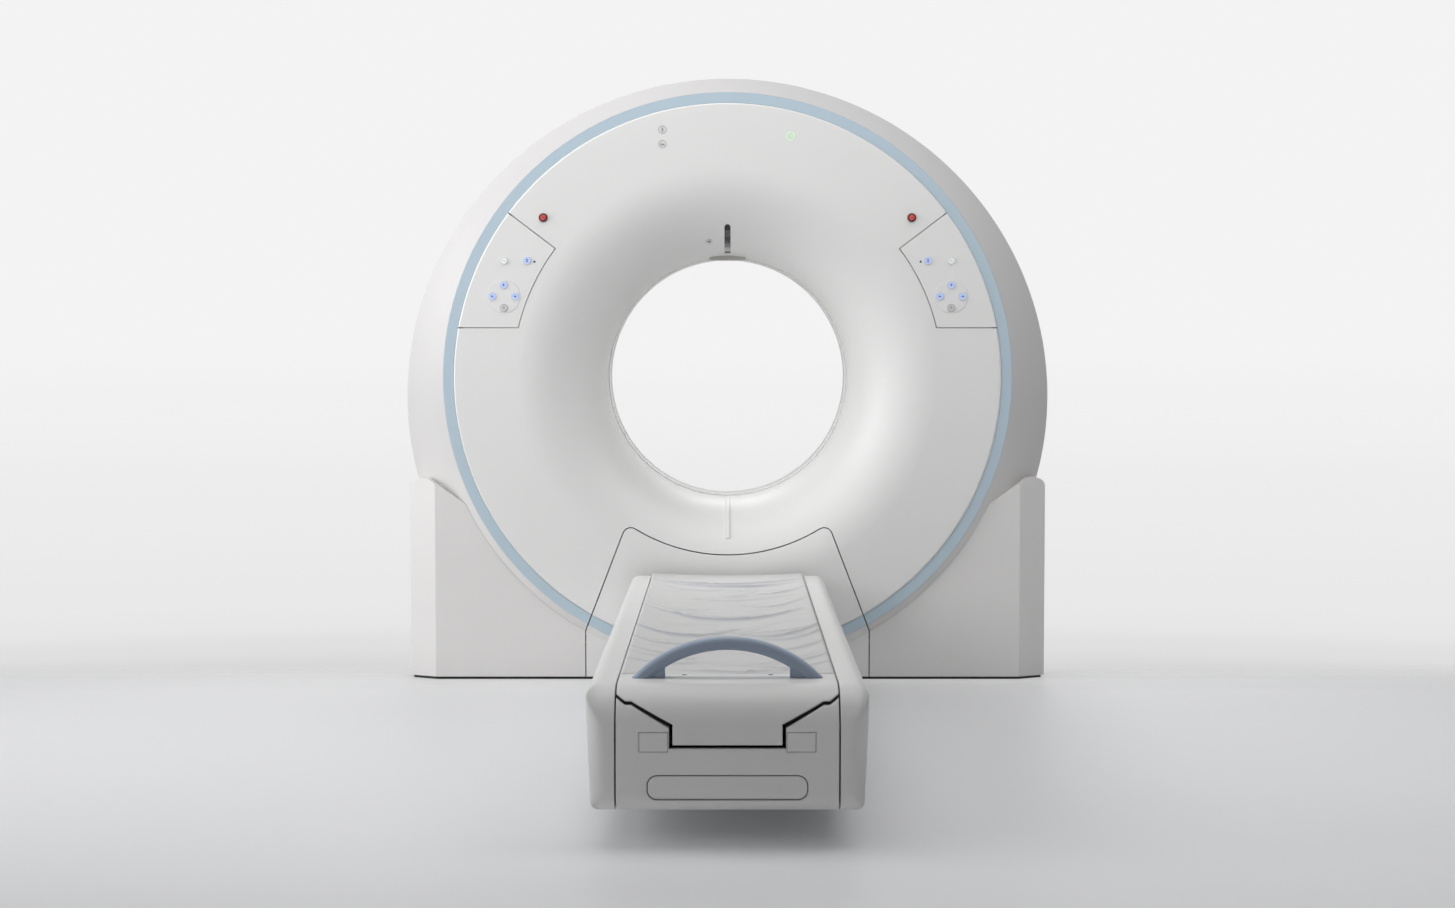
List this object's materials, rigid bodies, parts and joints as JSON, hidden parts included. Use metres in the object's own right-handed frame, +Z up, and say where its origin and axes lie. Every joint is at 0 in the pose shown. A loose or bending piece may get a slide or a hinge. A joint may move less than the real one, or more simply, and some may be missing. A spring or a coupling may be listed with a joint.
{
  "type": "ct scanner",
  "caption": "Computed-tomography scanner with a ring gantry, funnel-shaped patient aperture, control panels, and a telescoping lift couch with a sliding tabletop and arched handle.",
  "frame": {"origin": "on the floor, under the aperture axis in the scan plane", "axes": "+Z up, +Y along the aperture axis from the couch into the gantry, +X to the right seen from the couch"},
  "size_m": [1.8938, 2.83, 1.743],
  "materials": {
    "cover_white": "satin moulded cover",
    "base_white": "satin moulded cover",
    "couch_white": "satin moulded cover",
    "accent_blue": "satin",
    "handle_blue": "satin",
    "plinth_black": "matte",
    "scan_film": "smooth film",
    "frame_grey": "powder coat",
    "bearing_steel": "turned",
    "stage_alu": "satin",
    "unit_dark": "powder coat",
    "tube_blue": "satin",
    "slip_brass": "turned",
    "collar_black": "matte",
    "stop_red": "gloss",
    "lamp_green": "lit lens",
    "icon_grey": "satin",
    "window_black": "gloss",
    "lens_grey": "gloss",
    "sensor_pale": "satin",
    "button_white": "satin",
    "button_blue": "lit lens",
    "button_grey": "satin",
    "table_carbon": "satin carbon",
    "sheet_white": "smooth sheet"
  },
  "bodies": {
    "stand": {"floor_frame": "frame_grey", "plinth": "plinth_black", "bearing_support": "frame_grey", "bearing_outer": "bearing_steel", "drive_stator": "unit_dark", "brush_block": "frame_grey", "front_cover": "cover_white", "accent_ring": "accent_blue", "outer_shell": "cover_white", "rear_cover": "cover_white", "scan_window": "scan_film", "base_cover_left": "base_white", "base_cover_right": "base_white", "lower_panel": "cover_white", "accent_lower": "accent_blue", "control_panel_left": "cover_white", "control_panel_right": "cover_white", "estop_collars": "collar_black", "status_lamp": "lamp_green", "icon_discs": "icon_grey", "laser_window": "window_black", "laser_lens": "lens_grey", "round_sensor": "sensor_pale", "couch_plate": "frame_grey", "lift_column": "stage_alu", "lift_motor": "unit_dark"},
    "rotor": {"rotor_drum": "bearing_steel", "slip_ring": "slip_brass", "xray_tube": "tube_blue", "collimator": "frame_grey", "detector_arc": "unit_dark", "hv_unit": "unit_dark", "counterweight": "frame_grey"},
    "couch": {"couch_frame": "frame_grey", "couch_side_left": "couch_white", "couch_side_right": "couch_white", "couch_end_cover": "couch_white", "pill_panel": "couch_white", "hatch_covers": "couch_white"},
    "table": {"tabletop": "table_carbon", "mattress": "sheet_white", "end_cap": "couch_white", "handle": "handle_blue"},
    "lift_stage_1_body": {"lift_stage_1": "stage_alu"},
    "lift_stage_2_body": {"lift_stage_2": "stage_alu"},
    "lift_stage_3_body": {"lift_stage_3": "stage_alu"},
    "button_left_out_body": {"button_left_out": "button_white"},
    "button_left_in_body": {"button_left_in": "button_blue"},
    "button_left_up_body": {"button_left_up": "button_blue"},
    "button_left_down_body": {"button_left_down": "button_grey"},
    "button_left_west_body": {"button_left_west": "button_blue"},
    "button_left_east_body": {"button_left_east": "button_blue"},
    "button_right_out_body": {"button_right_out": "button_white"},
    "button_right_in_body": {"button_right_in": "button_blue"},
    "button_right_up_body": {"button_right_up": "button_blue"},
    "button_right_down_body": {"button_right_down": "button_grey"},
    "button_right_west_body": {"button_right_west": "button_blue"},
    "button_right_east_body": {"button_right_east": "button_blue"},
    "estop_left_body": {"estop_left": "stop_red"},
    "estop_right_body": {"estop_right": "stop_red"}
  },
  "joints": [
    {"name": "gantry_turn", "type": "hinge", "parent": "stand", "child": "rotor", "pos_m": [0, 0, 0.878], "axis": [0, -1, 0], "continuous": true},
    {"name": "couch_lift", "type": "slide", "parent": "stand", "child": "couch", "axis": [0, 0, 1], "range_m": [0, 0.48]},
    {"name": "table_slide", "type": "slide", "parent": "couch", "child": "table", "axis": [0, 1, 0], "range_m": [0, 0.04]},
    {"name": "lift_stage_1_slide", "type": "slide", "parent": "stand", "child": "lift_stage_1_body", "axis": [0, 0, 1], "range_m": [0, 0.12]},
    {"name": "lift_stage_2_slide", "type": "slide", "parent": "stand", "child": "lift_stage_2_body", "axis": [0, 0, 1], "range_m": [0, 0.24]},
    {"name": "lift_stage_3_slide", "type": "slide", "parent": "stand", "child": "lift_stage_3_body", "axis": [0, 0, 1], "range_m": [0, 0.36]},
    {"name": "button_left_out_press", "type": "slide", "parent": "stand", "child": "button_left_out_body", "axis": [0, 1, 0], "range_m": [0, 0.002], "stiffness_N_per_m": 400},
    {"name": "button_left_in_press", "type": "slide", "parent": "stand", "child": "button_left_in_body", "axis": [0, 1, 0], "range_m": [0, 0.002], "stiffness_N_per_m": 400},
    {"name": "button_left_up_press", "type": "slide", "parent": "stand", "child": "button_left_up_body", "axis": [0, 1, 0], "range_m": [0, 0.002], "stiffness_N_per_m": 400},
    {"name": "button_left_down_press", "type": "slide", "parent": "stand", "child": "button_left_down_body", "axis": [0, 1, 0], "range_m": [0, 0.002], "stiffness_N_per_m": 400},
    {"name": "button_left_west_press", "type": "slide", "parent": "stand", "child": "button_left_west_body", "axis": [0, 1, 0], "range_m": [0, 0.002], "stiffness_N_per_m": 400},
    {"name": "button_left_east_press", "type": "slide", "parent": "stand", "child": "button_left_east_body", "axis": [0, 1, 0], "range_m": [0, 0.002], "stiffness_N_per_m": 400},
    {"name": "button_right_out_press", "type": "slide", "parent": "stand", "child": "button_right_out_body", "axis": [0, 1, 0], "range_m": [0, 0.002], "stiffness_N_per_m": 400},
    {"name": "button_right_in_press", "type": "slide", "parent": "stand", "child": "button_right_in_body", "axis": [0, 1, 0], "range_m": [0, 0.002], "stiffness_N_per_m": 400},
    {"name": "button_right_up_press", "type": "slide", "parent": "stand", "child": "button_right_up_body", "axis": [0, 1, 0], "range_m": [0, 0.002], "stiffness_N_per_m": 400},
    {"name": "button_right_down_press", "type": "slide", "parent": "stand", "child": "button_right_down_body", "axis": [0, 1, 0], "range_m": [0, 0.002], "stiffness_N_per_m": 400},
    {"name": "button_right_west_press", "type": "slide", "parent": "stand", "child": "button_right_west_body", "axis": [0, 1, 0], "range_m": [0, 0.002], "stiffness_N_per_m": 400},
    {"name": "button_right_east_press", "type": "slide", "parent": "stand", "child": "button_right_east_body", "axis": [0, 1, 0], "range_m": [0, 0.002], "stiffness_N_per_m": 400},
    {"name": "estop_left_press", "type": "slide", "parent": "stand", "child": "estop_left_body", "axis": [0, 1, 0], "range_m": [0, 0.004]},
    {"name": "estop_right_press", "type": "slide", "parent": "stand", "child": "estop_right_body", "axis": [0, 1, 0], "range_m": [0, 0.004]}
  ],
  "couplings": [
    {"joint": "lift_stage_1_slide", "follows": "couch_lift", "ratio": 0.25},
    {"joint": "lift_stage_2_slide", "follows": "couch_lift", "ratio": 0.5},
    {"joint": "lift_stage_3_slide", "follows": "couch_lift", "ratio": 0.75}
  ]
}
